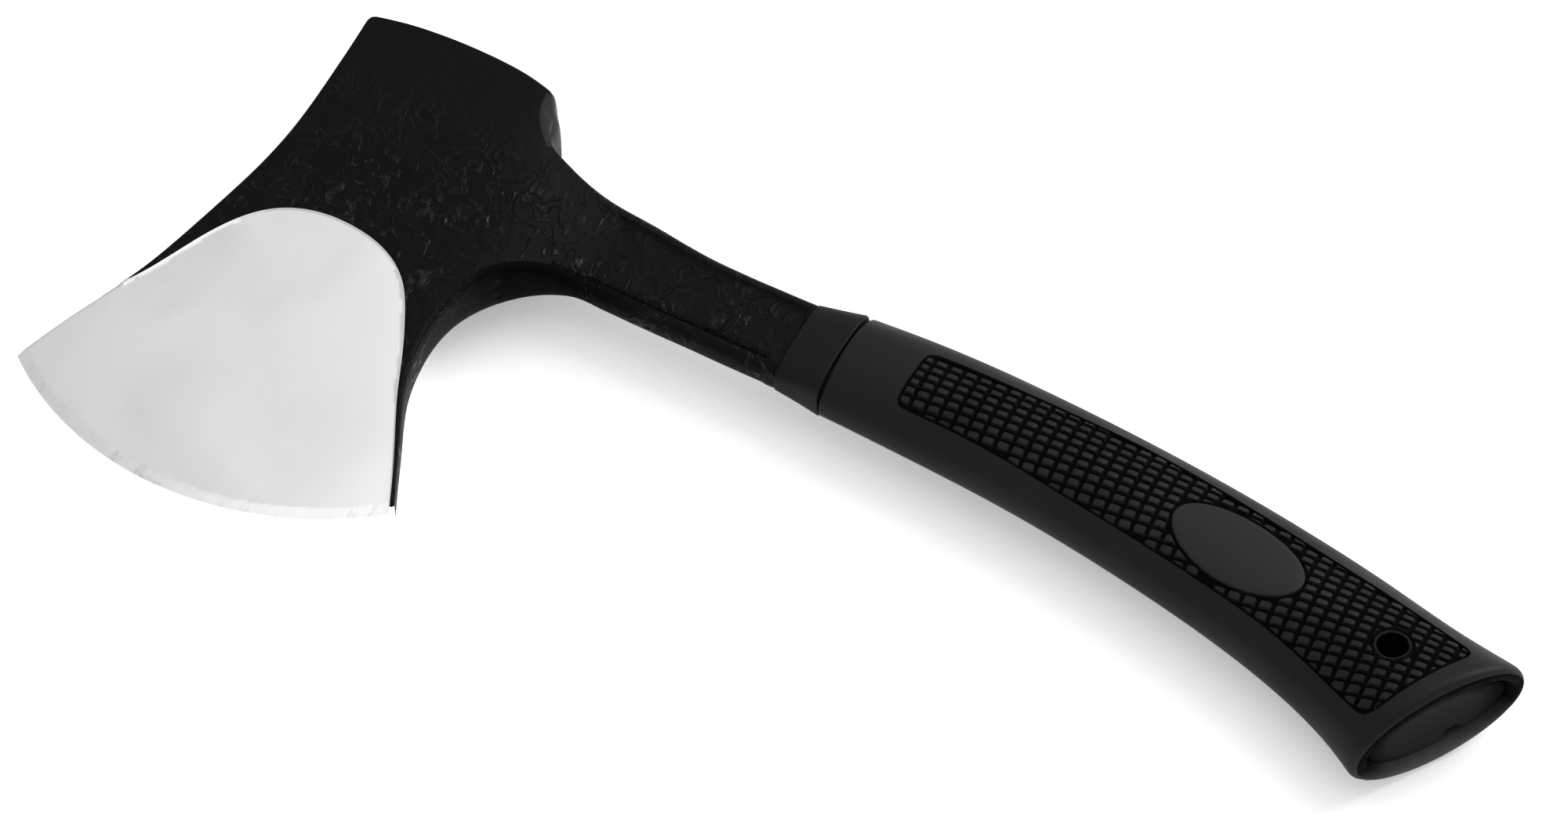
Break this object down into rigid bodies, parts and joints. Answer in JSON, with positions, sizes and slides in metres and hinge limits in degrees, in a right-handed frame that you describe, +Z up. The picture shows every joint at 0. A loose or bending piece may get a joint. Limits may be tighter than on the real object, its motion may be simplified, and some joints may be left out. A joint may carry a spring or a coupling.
{
  "type": "hatchet",
  "caption": "One-piece forged hatchet with ground blade, crowned poll and full tang in a flared rubber grip with checkered panels and a lanyard hole.",
  "frame": {"origin": "below the middle of the overall length and width, on the surface the hatchet lies on", "axes": "+X along the handle from the head to the butt, -Y towards the cutting edge, +Z up from the side it lies on"},
  "size_m": [0.3344, 0.138, 0.028],
  "materials": {
    "forging": "black coated forged steel with a bright ground blade",
    "core": "smooth black moulded nylon",
    "grip": "smooth matt black rubber with checkered panels",
    "badge": "plain dark grey inlay",
    "plug": "dark grey moulded plug"
  },
  "bodies": {
    "root": {"head_forging": "forging", "grip_core": "core", "rubber_grip": "grip", "badge_upper": "badge", "badge_lower": "badge", "butt_plug": "plug"}
  },
  "joints": []
}
